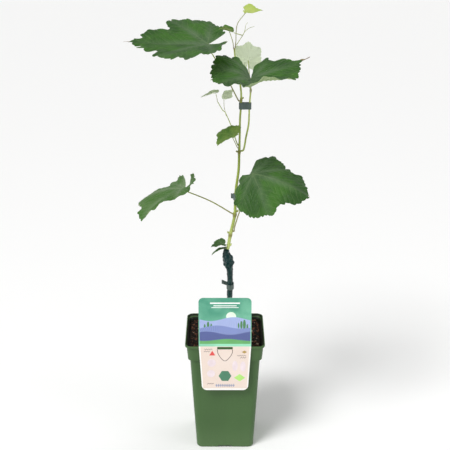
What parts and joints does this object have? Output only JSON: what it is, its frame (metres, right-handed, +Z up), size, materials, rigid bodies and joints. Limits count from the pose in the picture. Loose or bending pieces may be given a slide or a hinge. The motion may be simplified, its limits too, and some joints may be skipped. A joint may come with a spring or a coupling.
{
  "type": "potted grafted grapevine",
  "caption": "Young grafted grapevine in a deep square nursery pot: waxed rootstock, one green shoot that forks, broad lobed leaves, tape ties and a plant label.",
  "frame": {"origin": "middle of the pot's flat underside, where it stands", "axes": "+Z up along the plant, +X to the right and -Y towards the viewer when the label faces forward"},
  "size_m": [0.2477, 0.1859, 0.6775],
  "materials": {
    "pot": "satin moulded green plastic",
    "soil": "moist crumbly peat",
    "wax": "lumpy glossy grafting wax over a cane",
    "shoot": "smooth green shoot",
    "leaf": "matt, veined and slightly puckered",
    "leaf_young": "soft young leaf",
    "leaf_pale": "pale downy young leaf",
    "tie": "thin flexible tape",
    "label": "printed glossy plastic sheet"
  },
  "bodies": {
    "root": {"pot": "pot", "soil": "soil", "trunk": "wax", "shoot_lower": "shoot", "shoot_left": "shoot", "shoot_right": "shoot", "side_twig": "shoot", "bud": "shoot", "tendril": "shoot", "leaf_upper_left": "leaf", "leaf_centre": "leaf", "leaf_right": "leaf", "leaf_left": "leaf", "leaf_side_small": "leaf_young", "leaf_top_young": "leaf_young", "leaf_folded_young": "leaf_young", "leaf_back_pale": "leaf_pale", "leaf_twig_upper": "leaf_pale", "leaf_twig_end": "leaf_pale", "leaf_basal": "leaf", "leaf_basal_low": "leaf", "tie_lower": "tie", "tie_middle": "tie", "tie_upper": "tie", "label": "label"}
  },
  "joints": []
}
